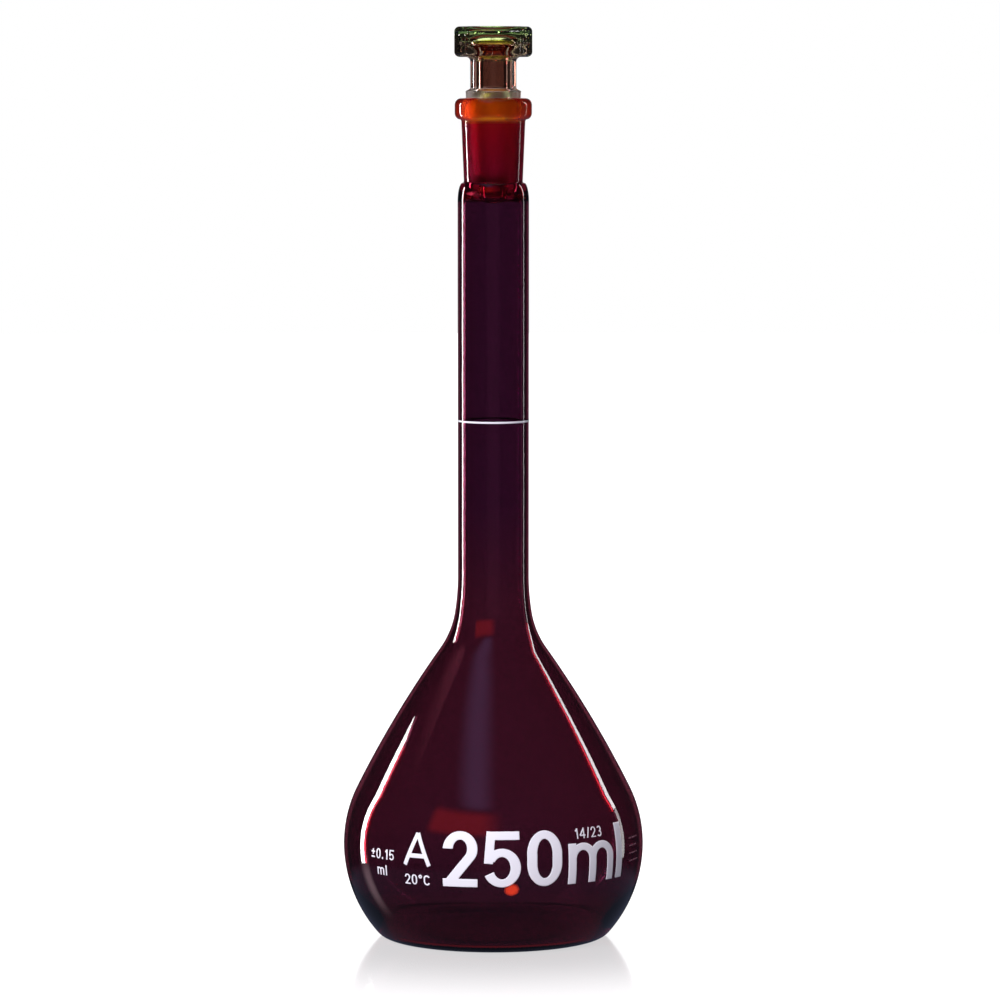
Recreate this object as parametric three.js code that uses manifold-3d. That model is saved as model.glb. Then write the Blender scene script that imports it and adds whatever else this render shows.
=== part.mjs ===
// A 250 ml volumetric flask with a ground-in hollow glass stopper.
// Millimetres, +Z up. The origin is the centre of the base, on the bench.
// The front of the flask, with its capacity figures, faces -Y.

import * as THREE from 'three';
import { mergeVertices } from 'three/addons/utils/BufferGeometryUtils.js';
import Module from 'manifold-3d';

const wasm = await Module();
wasm.setup();

// ---- Driving dimensions ----

const SEGMENTS = 48;               // facets round every turned piece
const ARC_STEP = 11;               // largest turn between two points of an arc, degrees

const WALL = 1.25;                 // wall of the bulb and the neck
const BELLY_RADIUS = 39.8;         // largest radius of the bulb
const BASE_EDGE_RADIUS = 4.8;      // rounding between the belly and the foot
const BASE_EDGE_ANGLE = 41;        // slope of the belly where that rounding begins
const BELLY_LOWER_RADIUS = 35.5;   // arc below the widest point
const BELLY_UPPER_RADIUS = 33.5;   // arc above the widest point
const FLANK_RADIUS = 285;          // the long, slightly full flank of the pear
const FLANK_FOOT_ANGLE = 26.5;     // slope of the flank at the belly, from vertical
const FILLET_RADIUS = 23;          // tight hollow between the flank and the neck
const FLARE_ANGLE = 9;             // slope where the hollow eases into the neck
const FLARE_RADIUS = 63;           // slow flare at the foot of the neck
const FOOT_INNER_RADIUS = 22;      // inner edge of the flat ring the flask stands on
const KICK_HEIGHT = 2.4;           // rise of the base inside that ring

const NECK_RADIUS = 9.4;           // outside of the neck tube
const RING_MARK_Z = 137.5;         // calibration line
const RING_MARK_WIDTH = 0.5;
const ENAMEL_STANDOFF = 0.03;      // enamel above the faceted glass
const ENAMEL_THICKNESS = 0.15;

const RIM_Z = 222.6;               // top of the mouth
const GROUND_LENGTH = 23;          // standard taper joint 14/23
const GROUND_LARGE_RADIUS = 7.25;
const GROUND_SLOPE = 0.05;         // radius lost per millimetre, a taper of 1 in 10
const SOCKET_TOP_RADIUS = 8.4;     // outside of the socket under the bead
const SOCKET_FOOT_RADIUS = 7.75;   // outside of the socket at the shoulder
const SHOULDER_FOOT_Z = 195.4;     // where the shoulder meets the plain neck tube
const SHOULDER_TOP_Z = 200.3;
const BEAD_RADIUS = 10.15;         // beaded rim
const BEAD_HEIGHT = 5.8;
const BEAD_EDGE_RADIUS = 1.85;

const JOINT_CLEARANCE = 0.06;      // radial running clearance of the ground cone
const PLUG_RISE = 1.6;             // ground cone left standing above the rim
const PLUG_FOOT_Z = 200.8;          // end of the ground cone
const PLUG_TIP_Z = 195;            // end of the drawn tip
const PLUG_TIP_RADIUS = 3.9;
const GRIP_NECK_RADIUS = 6.05;     // plain stem between the cone and the head
const GRIP_NECK_FOOT_Z = 225.2;
const HEAD_FOOT_Z = 233.3;
const HEAD_TOP_Z = 241.5;
const HEAD_SIDES = 8;
const HEAD_FLAT_RADIUS = 9.78;     // centre to the middle of a side
const HEAD_CORNER_RADIUS = 2;
const HEAD_EDGE_RADIUS = 1.4;      // rounding of the top and bottom edges
const HEAD_TURN = 3;               // turn of one corner away from the front, degrees
const STOPPER_STEM_BORE = 3.4;     // hollow inside the stem
const STOPPER_CONE_WALL = 1.9;
const HEAD_HOLLOW_RADIUS = 6.2;
const HEAD_HOLLOW_FOOT_Z = 234.2;
const HEAD_HOLLOW_EDGE = 2;        // rounding at the top of the hollow
const HOLLOW_TOP_Z = 239.3;
const VENT_RADIUS = 0.6;           // small opening at the tip of the hollow

const FIGURE_HEIGHT = 14.5;        // capacity figures on the bulb
const FIGURE_STROKE = 2.6;
const FIGURE_BASE_Z = 19;
const FIGURE_WIDTH = 9.9;
const SMALL_LETTER_HEIGHT = 10.6;
const LETTER_M_WIDTH = 15.8;

const COLOURS = {
  body: 0x3a1520,
  socket: 0x6e1420,
  stopper: 0x4a3320,
  enamel: 0xeceaf2,
};

// ---- Helpers ----

const radians = THREE.MathUtils.degToRad;
const point = (radius, height) => new THREE.Vector2(radius, height);

function arc(centre, radius, from, to) {
  // Points of a circular arc; angles in degrees from the +radius direction.
  const steps = Math.max(2, Math.ceil(Math.abs(to - from) / ARC_STEP));
  return Array.from({ length: steps + 1 }, (_, i) => {
    const angle = radians(from + ((to - from) * i) / steps);
    return point(centre.x + radius * Math.cos(angle), centre.y + radius * Math.sin(angle));
  });
}

function lathe(profile) {
  // Turns a (radius, height) outline about Z; the outline runs with the glass on its left.
  const geometry = new THREE.LatheGeometry(profile, SEGMENTS);
  geometry.rotateX(Math.PI / 2);
  return geometry;
}

function glass(colour) {
  return new THREE.MeshStandardMaterial({ color: colour, roughness: 0.06, metalness: 0 });
}

function enamel() {
  return new THREE.MeshStandardMaterial({ color: COLOURS.enamel, roughness: 0.45, metalness: 0 });
}

function named(name, geometry, material) {
  const mesh = new THREE.Mesh(geometry, material);
  mesh.name = name;
  return mesh;
}

function toSolid(geometry) {
  const bare = geometry.clone();
  bare.deleteAttribute('normal');
  bare.deleteAttribute('uv');
  const merged = mergeVertices(bare, 1e-4);
  return new wasm.Manifold(new wasm.Mesh({
    numProp: 3,
    vertProperties: new Float32Array(merged.attributes.position.array),
    triVerts: new Uint32Array(merged.index.array),
  }));
}

function toGeometry(solid) {
  const mesh = solid.getMesh();
  const geometry = new THREE.BufferGeometry();
  geometry.setAttribute('position', new THREE.BufferAttribute(mesh.vertProperties, mesh.numProp));
  geometry.setIndex(new THREE.BufferAttribute(mesh.triVerts, 1));
  geometry.computeVertexNormals();
  return geometry;
}

// ---- Flask body ----

function flankTopAngle() {
  // The slope, in degrees from vertical, at which the flank has to stop for the hollow and
  // the flare above it to end exactly on the neck's radius.
  const rise = (angle) => Math.cos(radians(angle));
  const sum = NECK_RADIUS - BELLY_RADIUS
    + BELLY_UPPER_RADIUS * (1 - rise(FLANK_FOOT_ANGLE))
    + FLANK_RADIUS * rise(FLANK_FOOT_ANGLE)
    + FILLET_RADIUS * rise(FLARE_ANGLE)
    + FLARE_RADIUS * (1 - rise(FLARE_ANGLE));
  return THREE.MathUtils.radToDeg(Math.acos(sum / (FLANK_RADIUS + FILLET_RADIUS)));
}

function bulbArcs(inset) {
  // The bulb's outline from the foot up, as arcs that meet with a common tangent.
  // Each is [centre, radius, from, to]; inset moves the whole outline inwards.
  const bellyCentre = BELLY_RADIUS - BELLY_LOWER_RADIUS;
  const edgeReach = BELLY_LOWER_RADIUS - BASE_EDGE_RADIUS;
  const edge = radians(BASE_EDGE_ANGLE);
  const bellyZ = BASE_EDGE_RADIUS + edgeReach * Math.sin(edge);
  const baseEdge = point(bellyCentre + edgeReach * Math.cos(edge), BASE_EDGE_RADIUS);
  const lower = point(bellyCentre, bellyZ);
  const upper = point(BELLY_RADIUS - BELLY_UPPER_RADIUS, bellyZ);
  const along = (centre, distance, angle) => point(
    centre.x + distance * Math.cos(radians(angle)),
    centre.y + distance * Math.sin(radians(angle)),
  );
  const flankTop = flankTopAngle();
  const flank = along(upper, BELLY_UPPER_RADIUS - FLANK_RADIUS, FLANK_FOOT_ANGLE);
  const fillet = along(flank, FLANK_RADIUS + FILLET_RADIUS, flankTop);
  const flare = along(fillet, FLARE_RADIUS - FILLET_RADIUS, FLARE_ANGLE);
  return [
    [baseEdge, BASE_EDGE_RADIUS - inset, -90, -BASE_EDGE_ANGLE],
    [lower, BELLY_LOWER_RADIUS - inset, -BASE_EDGE_ANGLE, 0],
    [upper, BELLY_UPPER_RADIUS - inset, 0, FLANK_FOOT_ANGLE],
    [flank, FLANK_RADIUS - inset, FLANK_FOOT_ANGLE, flankTop],
    [fillet, FILLET_RADIUS + inset, 180 + flankTop, 180 + FLARE_ANGLE],
    [flare, FLARE_RADIUS + inset, 180 + FLARE_ANGLE, 180],
  ];
}

function drawn(arcs) {
  const outlines = arcs.map(([centre, radius, from, to]) => arc(centre, radius, from, to));
  return outlines.reduce((outline, next) => outline.concat(next.slice(1)));
}

const bulbOutline = (inset) => drawn(bulbArcs(inset));

function kickOutline(lift) {
  // The shallow dome of the base, from the axis out to the standing ring.
  const radius = (FOOT_INNER_RADIUS ** 2 + KICK_HEIGHT ** 2) / (2 * KICK_HEIGHT);
  const edge = THREE.MathUtils.radToDeg(Math.acos(FOOT_INNER_RADIUS / radius));
  return arc(point(0, KICK_HEIGHT - radius + lift), radius, 90, edge);
}

function bulb() {
  const outside = kickOutline(0).concat(bulbOutline(0));
  const inside = kickOutline(WALL).concat(bulbOutline(WALL));
  return lathe(outside.concat(inside.reverse()));
}

const BULB_TOP_Z = bulbOutline(0).at(-1).y;
const NECK_BORE = bulbOutline(WALL).at(-1).x;

function neckTube() {
  return lathe([
    point(NECK_BORE, BULB_TOP_Z),
    point(NECK_RADIUS, BULB_TOP_Z),
    point(NECK_RADIUS, SHOULDER_FOOT_Z),
    point(NECK_BORE, SHOULDER_FOOT_Z),
    point(NECK_BORE, BULB_TOP_Z),
  ]);
}

function boreShoulder(footRadius, topRadius, topZ) {
  // An S-curve between two radii: a quarter wave, steepest halfway up.
  const steps = 6;
  return Array.from({ length: steps + 1 }, (_, i) => {
    const blend = (1 - Math.cos((Math.PI * i) / steps)) / 2;
    const height = SHOULDER_FOOT_Z + ((topZ - SHOULDER_FOOT_Z) * i) / steps;
    return point(footRadius + (topRadius - footRadius) * blend, height);
  });
}

function roundedShoulder() {
  // A quarter of an ellipse: upright where it leaves the neck, level at the socket.
  const steps = 6;
  const reach = NECK_RADIUS - SOCKET_FOOT_RADIUS;
  const rise = SHOULDER_TOP_Z - SHOULDER_FOOT_Z;
  return Array.from({ length: steps + 1 }, (_, i) => {
    const angle = (Math.PI / 2) * (i / steps);
    const radius = SOCKET_FOOT_RADIUS + reach * Math.cos(angle);
    return point(radius, SHOULDER_FOOT_Z + rise * Math.sin(angle));
  });
}

const groundRadius = (z) => GROUND_LARGE_RADIUS - GROUND_SLOPE * (RIM_Z - z);

function groundSocket() {
  // The socket with its tapered bore and the bead round its mouth.
  const beadFootZ = RIM_Z - BEAD_HEIGHT;
  const beadEdge = BEAD_RADIUS - BEAD_EDGE_RADIUS;
  const boreFootZ = RIM_Z - GROUND_LENGTH;
  const boreFoot = groundRadius(boreFootZ);
  const outside = [
    ...roundedShoulder(),
    point(SOCKET_TOP_RADIUS, beadFootZ - 0.4),
    ...arc(point(beadEdge, beadFootZ + BEAD_EDGE_RADIUS), BEAD_EDGE_RADIUS, -70, 0),
    ...arc(point(beadEdge, RIM_Z - BEAD_EDGE_RADIUS), BEAD_EDGE_RADIUS, 0, 90),
  ];
  const inside = [
    point(GROUND_LARGE_RADIUS, RIM_Z),
    point(boreFoot, boreFootZ),
    ...boreShoulder(NECK_BORE, boreFoot, boreFootZ).reverse().slice(1),
  ];
  return lathe([...outside, ...inside, outside[0].clone()]);
}

function ringMark() {
  const inner = NECK_RADIUS + ENAMEL_STANDOFF;
  const outer = inner + ENAMEL_THICKNESS;
  const low = RING_MARK_Z - RING_MARK_WIDTH / 2;
  const high = RING_MARK_Z + RING_MARK_WIDTH / 2;
  return lathe([
    point(inner, low),
    point(outer, low),
    point(outer, high),
    point(inner, high),
    point(inner, low),
  ]);
}

// ---- Stopper ----

function stopperStem() {
  // The ground cone, its drawn tip and the plain stem, up into the head.
  const cone = (z) => groundRadius(z) - JOINT_CLEARANCE;
  const coneTopZ = RIM_Z + PLUG_RISE;
  const tipCentre = point(0, PLUG_TIP_Z + PLUG_TIP_RADIUS);
  return lathe([
    ...arc(tipCentre, PLUG_TIP_RADIUS, -90, 0),
    point(PLUG_TIP_RADIUS + 0.5, PLUG_FOOT_Z - 1),
    point(cone(PLUG_FOOT_Z) - 0.7, PLUG_FOOT_Z - 0.6),
    point(cone(PLUG_FOOT_Z), PLUG_FOOT_Z),
    point(cone(coneTopZ), coneTopZ),
    point(GRIP_NECK_RADIUS, GRIP_NECK_FOOT_Z),
    point(GRIP_NECK_RADIUS, HEAD_FOOT_Z - 1),
    point(GRIP_NECK_RADIUS + 0.7, HEAD_FOOT_Z),
    point(GRIP_NECK_RADIUS + 0.7, HEAD_FOOT_Z + 1),
    point(0, HEAD_FOOT_Z + 1),
  ]);
}

function stopperHollow() {
  // The blown hollow, open to the air only through the vent at the tip.
  const bore = (z) => groundRadius(z) - JOINT_CLEARANCE - STOPPER_CONE_WALL;
  const edge = point(HEAD_HOLLOW_RADIUS - HEAD_HOLLOW_EDGE, HOLLOW_TOP_Z - HEAD_HOLLOW_EDGE);
  return lathe([
    point(0, PLUG_TIP_Z - 1),
    point(VENT_RADIUS, PLUG_TIP_Z - 1),
    point(VENT_RADIUS, PLUG_TIP_Z + STOPPER_CONE_WALL),
    point(PLUG_TIP_RADIUS - STOPPER_CONE_WALL, PLUG_FOOT_Z - 2),
    point(bore(PLUG_FOOT_Z + 1.5), PLUG_FOOT_Z + 1.5),
    point(bore(RIM_Z - 2), RIM_Z - 2),
    point(STOPPER_STEM_BORE, GRIP_NECK_FOOT_Z),
    point(STOPPER_STEM_BORE, HEAD_HOLLOW_FOOT_Z),
    point(HEAD_HOLLOW_RADIUS - 0.8, HEAD_HOLLOW_FOOT_Z + 1.7),
    ...arc(edge, HEAD_HOLLOW_EDGE, 0, 90),
    point(0, HOLLOW_TOP_Z),
  ]);
}

function stopperHead() {
  // An eight-sided block with soft corners and edges, extruded upwards.
  const cornerRadius = HEAD_CORNER_RADIUS - HEAD_EDGE_RADIUS;
  const centreReach = (HEAD_FLAT_RADIUS - HEAD_CORNER_RADIUS) / Math.cos(Math.PI / HEAD_SIDES);
  const outline = new THREE.Shape();
  for (let side = 0; side < HEAD_SIDES; side += 1) {
    const corner = radians(HEAD_TURN) - Math.PI / 2 + (side * 2 * Math.PI) / HEAD_SIDES;
    const halfTurn = Math.PI / HEAD_SIDES;
    const x = centreReach * Math.cos(corner);
    const y = centreReach * Math.sin(corner);
    outline.absarc(x, y, cornerRadius, corner - halfTurn, corner + halfTurn, false);
  }
  outline.closePath();
  const geometry = new THREE.ExtrudeGeometry(outline, {
    depth: HEAD_TOP_Z - HEAD_FOOT_Z - 2 * HEAD_EDGE_RADIUS,
    curveSegments: 3,
    bevelEnabled: true,
    bevelThickness: HEAD_EDGE_RADIUS,
    bevelSize: HEAD_EDGE_RADIUS,
    bevelSegments: 3,
  });
  geometry.translate(0, 0, HEAD_FOOT_Z + HEAD_EDGE_RADIUS);
  return geometry;
}

function stopper() {
  const whole = toSolid(stopperHead()).add(toSolid(stopperStem()));
  return toGeometry(whole.subtract(toSolid(stopperHollow())));
}

// ---- Capacity figures, fired on to the front of the bulb ----

function bar(fromX, fromY, toX, toY) {
  // A straight pen stroke with square ends.
  const along = new THREE.Vector2(toX - fromX, toY - fromY).normalize();
  const side = new THREE.Vector2(-along.y, along.x).multiplyScalar(FIGURE_STROKE / 2);
  return new THREE.Shape([
    new THREE.Vector2(fromX - side.x, fromY - side.y),
    new THREE.Vector2(toX - side.x, toY - side.y),
    new THREE.Vector2(toX + side.x, toY + side.y),
    new THREE.Vector2(fromX + side.x, fromY + side.y),
  ]);
}

function bow(x, y, radius, from, to) {
  // A curved pen stroke; radius is that of its middle line, angles in degrees.
  const shape = new THREE.Shape();
  shape.absarc(x, y, radius + FIGURE_STROKE / 2, radians(from), radians(to), false);
  shape.absarc(x, y, radius - FIGURE_STROKE / 2, radians(to), radians(from), true);
  shape.closePath();
  return shape;
}

function figureTwo() {
  const half = (FIGURE_WIDTH - FIGURE_STROKE) / 2;
  const low = FIGURE_STROKE / 2;
  const bowY = FIGURE_HEIGHT - low - half;
  const leave = radians(-35);
  return [
    bow(0, bowY, half, -35, 175),
    bar(half * Math.cos(leave), bowY + half * Math.sin(leave), -half + 0.3, low),
    bar(-half - low, low, half + low, low),
  ];
}

function figureFive() {
  const half = (FIGURE_WIDTH - FIGURE_STROKE) / 2;
  const low = FIGURE_STROKE / 2;
  const high = FIGURE_HEIGHT - low;
  const bowRadius = half + 0.35;
  const bowY = low + bowRadius;
  return [
    bar(-half - low + 0.6, high, half + low - 0.3, high),
    bar(-half + 0.4, high, -half + 0.1, bowY + 1.5),
    bow(-0.3, bowY, bowRadius, -150, 135),
  ];
}

function figureNought() {
  const half = (FIGURE_WIDTH - FIGURE_STROKE) / 2;
  const low = FIGURE_STROKE / 2;
  const lowerY = low + half;
  const upperY = FIGURE_HEIGHT - lowerY;
  return [
    bow(0, upperY, half, 0, 180),
    bow(0, lowerY, half, 180, 360),
    bar(-half, lowerY - 0.2, -half, upperY + 0.2),
    bar(half, lowerY - 0.2, half, upperY + 0.2),
  ];
}

function letterM() {
  const pitch = (LETTER_M_WIDTH - FIGURE_STROKE) / 2;
  const arch = pitch / 2;
  const archY = SMALL_LETTER_HEIGHT - FIGURE_STROKE / 2 - arch;
  const stems = [-pitch, 0, pitch].map((x) => bar(x, 0, x, archY + 0.2));
  const arches = [-arch, arch].map((x) => bow(x, archY, arch, 0, 180));
  const corner = bar(-pitch, 0, -pitch, SMALL_LETTER_HEIGHT);
  return [...stems, ...arches, corner];
}

function letterL() {
  return [bar(0, 0, 0, FIGURE_HEIGHT)];
}

function bellyShell() {
  // A thin skin round the belly, from which the figures are cut.
  const skin = (lift) => drawn(bulbArcs(-lift).slice(1, 3));
  const outside = skin(ENAMEL_STANDOFF + ENAMEL_THICKNESS);
  const inside = skin(ENAMEL_STANDOFF);
  return lathe([...outside, ...inside.reverse(), outside[0].clone()]);
}

const shell = toSolid(bellyShell());

function figure(strokes, azimuth) {
  // Unites the strokes as prisms pointing inwards at the azimuth, and cuts the shell with them.
  const prisms = strokes.map((shape) => {
    const geometry = new THREE.ExtrudeGeometry(shape, {
      depth: BELLY_RADIUS,
      curveSegments: 10,
      bevelEnabled: false,
    });
    geometry.rotateX(Math.PI / 2);
    geometry.translate(0, -BELLY_RADIUS / 4, FIGURE_BASE_Z);
    geometry.rotateZ(radians(azimuth));
    return toSolid(geometry);
  });
  const united = prisms.reduce((whole, next) => whole.add(next));
  return toGeometry(united.intersect(shell));
}

// ---- Assembly ----

const flask = new THREE.Group();

flask.add(named('bulb', bulb(), glass(COLOURS.body)));
flask.add(named('neck_tube', neckTube(), glass(COLOURS.body)));
flask.add(named('ground_socket', groundSocket(), glass(COLOURS.socket)));
flask.add(named('stopper', stopper(), glass(COLOURS.stopper)));
flask.add(named('ring_mark', ringMark(), enamel()));

const CAPACITY = [
  ['figure_2', figureTwo(), -12.6],
  ['figure_5', figureFive(), 3.3],
  ['figure_0', figureNought(), 19.8],
  ['letter_m', letterM(), 40.8],
  ['letter_l', letterL(), 56.1],
];
for (const [name, strokes, azimuth] of CAPACITY) {
  flask.add(named(name, figure(strokes, azimuth), enamel()));
}

export default flask;
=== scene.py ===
import math

import bpy
import numpy as np
from bpy.props import FloatProperty, FloatVectorProperty, IntProperty, PointerProperty
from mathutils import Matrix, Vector


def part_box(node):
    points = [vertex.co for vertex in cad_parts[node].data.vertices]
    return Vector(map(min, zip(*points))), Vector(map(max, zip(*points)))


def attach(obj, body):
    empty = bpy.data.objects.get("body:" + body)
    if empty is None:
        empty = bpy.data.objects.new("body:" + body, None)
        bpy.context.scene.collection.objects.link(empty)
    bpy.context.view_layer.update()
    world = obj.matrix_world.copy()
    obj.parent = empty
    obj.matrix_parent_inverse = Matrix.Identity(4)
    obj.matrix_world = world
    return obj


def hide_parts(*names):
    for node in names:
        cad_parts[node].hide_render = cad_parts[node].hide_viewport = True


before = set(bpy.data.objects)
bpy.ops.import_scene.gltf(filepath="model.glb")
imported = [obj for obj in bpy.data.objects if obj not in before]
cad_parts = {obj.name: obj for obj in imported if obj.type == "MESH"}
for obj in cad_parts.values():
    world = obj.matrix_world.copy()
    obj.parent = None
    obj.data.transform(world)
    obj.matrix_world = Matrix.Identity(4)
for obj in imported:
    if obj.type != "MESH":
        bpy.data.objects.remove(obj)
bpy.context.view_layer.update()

bl_info = {
    "name": "Volumetric flask",
    "version": (1, 0, 0),
    "blender": (4, 5, 0),
    "location": "View3D > Sidebar > Flask",
    "description": "Builds a volumetric flask with its ground-in stopper, enamel marks and studio",
    "category": "Add Mesh",
}

MM = 0.001
QUARTER = math.pi / 2
WHITE = (1.0, 1.0, 1.0)
RED = (1.0, 0.02, 0.03)
BOROSILICATE_IOR = 1.473
SUNK = 0.02 * MM  # how far enamel reaches into the glass under it
NEAR_CONE = 0.2 * MM  # points this close to a ground cone are part of it
SAME_POINT = 1e-7


def half_width(node):
    """Half the width along X of a node of the frame."""
    low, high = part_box(node)
    return (high.x - low.x) / 2


BELLY_RADIUS = half_width("bulb")
NECK_RADIUS = half_width("neck_tube")
BEAD_RADIUS = half_width("ground_socket")
SHOULDER_FOOT_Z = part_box("ground_socket")[0].z
RIM_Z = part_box("ground_socket")[1].z
TIP_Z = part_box("stopper")[0].z
HEAD_TOP_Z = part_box("stopper")[1].z
RING_LOW_Z, RING_HIGH_Z = (corner.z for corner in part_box("ring_mark"))
FIGURE_LOW_Z, FIGURE_HIGH_Z = (corner.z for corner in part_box("figure_2"))


# ---- Settings a user would change ----


def length(description, millimetres):
    """A length, given in millimetres and kept in metres."""
    return FloatProperty(description=description, default=millimetres * MM, unit="LENGTH",
                         precision=5)


def angle(description, degrees):
    """An angle, given in degrees and kept in radians."""
    return FloatProperty(description=description, default=math.radians(degrees),
                         subtype="ANGLE")


def colour(description, default):
    """A linear colour."""
    return FloatVectorProperty(description=description, default=default, subtype="COLOR",
                               size=3, min=0.0, max=1.0)


def amount(description, default):
    """A plain number."""
    return FloatProperty(description=description, default=default)


def labelled(group):
    """Labels each setting of a group with its own name in plain words."""
    for name, setting in group.__annotations__.items():
        setting.keywords["name"] = name.replace("_", " ").capitalize()
    return group


@labelled
class FlaskSizes(bpy.types.PropertyGroup):
    """Sizes of the flask body that its outline is worked out from."""

    wall: length("Thickness of the blown wall", 1.25)
    base_gain: length("Extra glass gathered in the base", 0.9)
    base_edge_radius: length("Rounding between belly and foot", 4.8)
    base_edge_angle: angle("Slope where that rounding begins", 41)
    belly_lower_radius: length("Arc below the widest point", 35.5)
    belly_upper_radius: length("Arc above the widest point", 33.5)
    flank_radius: length("Arc of the long flank", 285)
    flank_foot_angle: angle("Slope where the flank leaves the belly", 26.5)
    fillet_radius: length("Tight hollow under the neck", 23)
    flare_radius: length("Slow flare at the foot of the neck", 63)
    flare_angle: angle("Slope where the flare meets the hollow", 9)
    foot_inner_radius: length("Inner edge of the standing ring", 22)
    kick_height: length("Rise of the base inside the ring", 2.4)
    shoulder_height: length("Height of the step under the socket", 4.9)
    socket_foot_radius: length("Outside of the socket, low end", 7.75)
    socket_top_radius: length("Outside of the socket, high end", 8.4)
    ground_length: length("Length of the tapered ground bore", 23)
    ground_large_radius: length("Radius of the bore at the rim", 7.25)
    bead_height: length("Height of the beaded rim", 5.8)
    bead_edge_radius: length("Rounding of the bead", 1.85)
    facets: IntProperty(description="Faces round the turned glass", default=168)


@labelled
class StopperSizes(bpy.types.PropertyGroup):
    """Sizes of the ground-in stopper."""

    clearance: length("Gap between the ground cones", 0.06)
    rise: length("Ground cone left above the rim", 1.6)
    cone_foot: length("Height of the cone's end over the tip", 5.8)
    tip_radius: length("Radius of the drawn tip", 3.9)
    stem_radius: length("Plain stem under the head", 6.05)
    stem_foot: length("Height of the stem's foot over the rim", 2.6)
    head_height: length("Height of the eight-sided head", 8.2)
    flat_radius: length("Axis to the middle of a side", 9.78)
    corner_radius: length("Rounding of the upright corners", 2.0)
    edge_radius: length("Rounding of the top and bottom edges", 1.4)
    head_fillet: length("Hollow between the stem and the head", 1.2)
    head_turn: angle("Turn of a corner away from the front", 3)
    face_crown: length("Swell of the head's moulded faces", 0.14)
    wall: length("Glass round the hollow", 1.9)
    stem_bore: length("Radius of the hollow in the stem", 3.4)
    head_bore: length("Radius of the hollow in the head", 6.2)
    hollow_top: length("Glass over the hollow in the head", 2.2)


@labelled
class EnamelSizes(bpy.types.PropertyGroup):
    """Sizes of the fired enamel marks."""

    thickness: length("Height of the enamel over the glass", 0.07)
    figure_stroke: length("Pen width of the capacity figures", 2.75)
    figure_width: length("Width of a capacity figure", 9.9)
    small_width: length("Width of the small m beside the figures", 15.6)
    small_height: length("Height of that small m", 10.6)


@labelled
class GlassColours(bpy.types.PropertyGroup):
    """Colours of the stained glass and the enamel."""

    # bulb_foot makes the flask's tint darker towards the base.
    bulb_foot: colour("Darker colour towards the base", (0.159, 0.108, 0.178))
    bulb: colour("Stain on the bulb", (0.211, 0.117, 0.184))
    neck: colour("Stain on the neck", (0.165, 0.091, 0.187))
    # bore_end is a painted red glow on the bore's low end and inside the shoulder, round the
    # stopper's tip.
    bore_end: colour("Painted red glow at the low end of the ground bore", (0.976, 0.121, 0.259))
    # socket_foot, socket, bead and bead_bore are the glass's stain lightened to bright red and
    # orange: a painted glow for light scattered through the ground joint.
    socket_foot: colour("Stain on the low end of the socket, lightened by painted glow", (0.53, 0.105, 0.298))
    socket: colour("Stain on the socket, lightened by painted glow", (0.647, 0.091, 0.195))
    bead: colour("Stain on the outside of the beaded rim, lightened by painted glow", (1.0, 0.919, 0.154))
    bead_bore: colour("Orange stain inside the rim, lightened by painted glow", (1.0, 1.0, 0.017))
    stopper: colour("Smoky skin of the stopper's head", (0.36, 0.28, 0.24))
    # stopper_top is painted green refracted light at the top of the head.
    stopper_top: colour("Painted green refraction at the top of the head", (0.20, 0.38, 0.14))
    # hollow_foot is painted red-brown: the red socket refracted into the foot of the head.
    hollow_foot: colour("Painted red-brown refraction at the foot of the hollow", (0.92, 0.34, 0.16))
    hollow: colour("Amber stain in the hollow of the head", (1.0, 0.96, 0.16))
    # hollow_top is painted green refracted light at the top of the hollow.
    hollow_top: colour("Painted green refraction at the top of the hollow", (0.55, 0.80, 0.22))
    stopper_stem: colour("Brown of the stem", (0.27, 0.145, 0.12))
    stopper_cone: colour("Paler glass of the cone", (0.86, 0.76, 0.74))
    frosted: colour("Tint of the finely ground surfaces", (1.0, 0.98, 0.96))
    enamel: colour("Fired white enamel", (0.86, 0.92, 0.96))
    # The next colour is enamel painted dim and reddish as shade, for print where the belly turns
    # away.
    shaded_enamel: colour("Enamel painted dim as shade where the belly turns away", (0.30, 0.12, 0.16))
    body: colour("Colour of the flask's glass in its thickness", (0.86, 0.30, 0.38))
    body_density: amount("How strongly the flask's glass absorbs", 600.0)
    polish: amount("Roughness of the flask's blown surface", 0.015)
    frost: amount("Roughness of the flask's ground bore", 0.42)
    stopper_body: colour("The same for the stopper's glass", (0.62, 0.56, 0.40))
    stopper_density: amount("How strongly the stopper absorbs", 70.0)
    stopper_polish: amount("Roughness of the moulded surface", 0.02)
    stopper_frost: amount("Roughness of the ground cone", 0.5)


@labelled
class StudioSettings(bpy.types.PropertyGroup):
    """Lights, floor and camera."""

    camera_distance: length("Camera to the flask's axis", 1400)
    camera_height: length("Camera over the bench", 235.5)
    camera_pitch: angle("Downward tilt of the camera", 4.863)
    camera_side: length("Camera to the right of the axis", 1.76)
    lens: amount("Focal length in millimetres on a 36 mm sensor", 190.98)
    left_strip: amount("Power of the left strip light in watts", 4.6)
    right_strip: amount("Power of the right strip light in watts", 1.1)
    gel: amount("Power of the red strip beside each white strip in watts", 0.5)
    key: amount("Power of the key light on matt surfaces in watts", 14.5)
    room: amount("Strength of the even light on matt surfaces", 0.25)
    surround: amount("Brightness of the dark surround in reflections", 0.02)
    sheen: amount("Brightness of the violet softbox in reflections", 0.75)
    warm: amount("Brightness of the red softbox in reflections", 2.0)
    ember: amount("Brightness of the small red lamp low in front", 17.0)
    through: amount("Brightness seen sideways through the glass", 0.055)
    above: amount("Brightness seen through the glass overhead", 4.5)
    below: amount("Red seen through the glass from under it", 0.5)


# ---- Outlines and surfaces, computed as whole arrays ----


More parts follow.
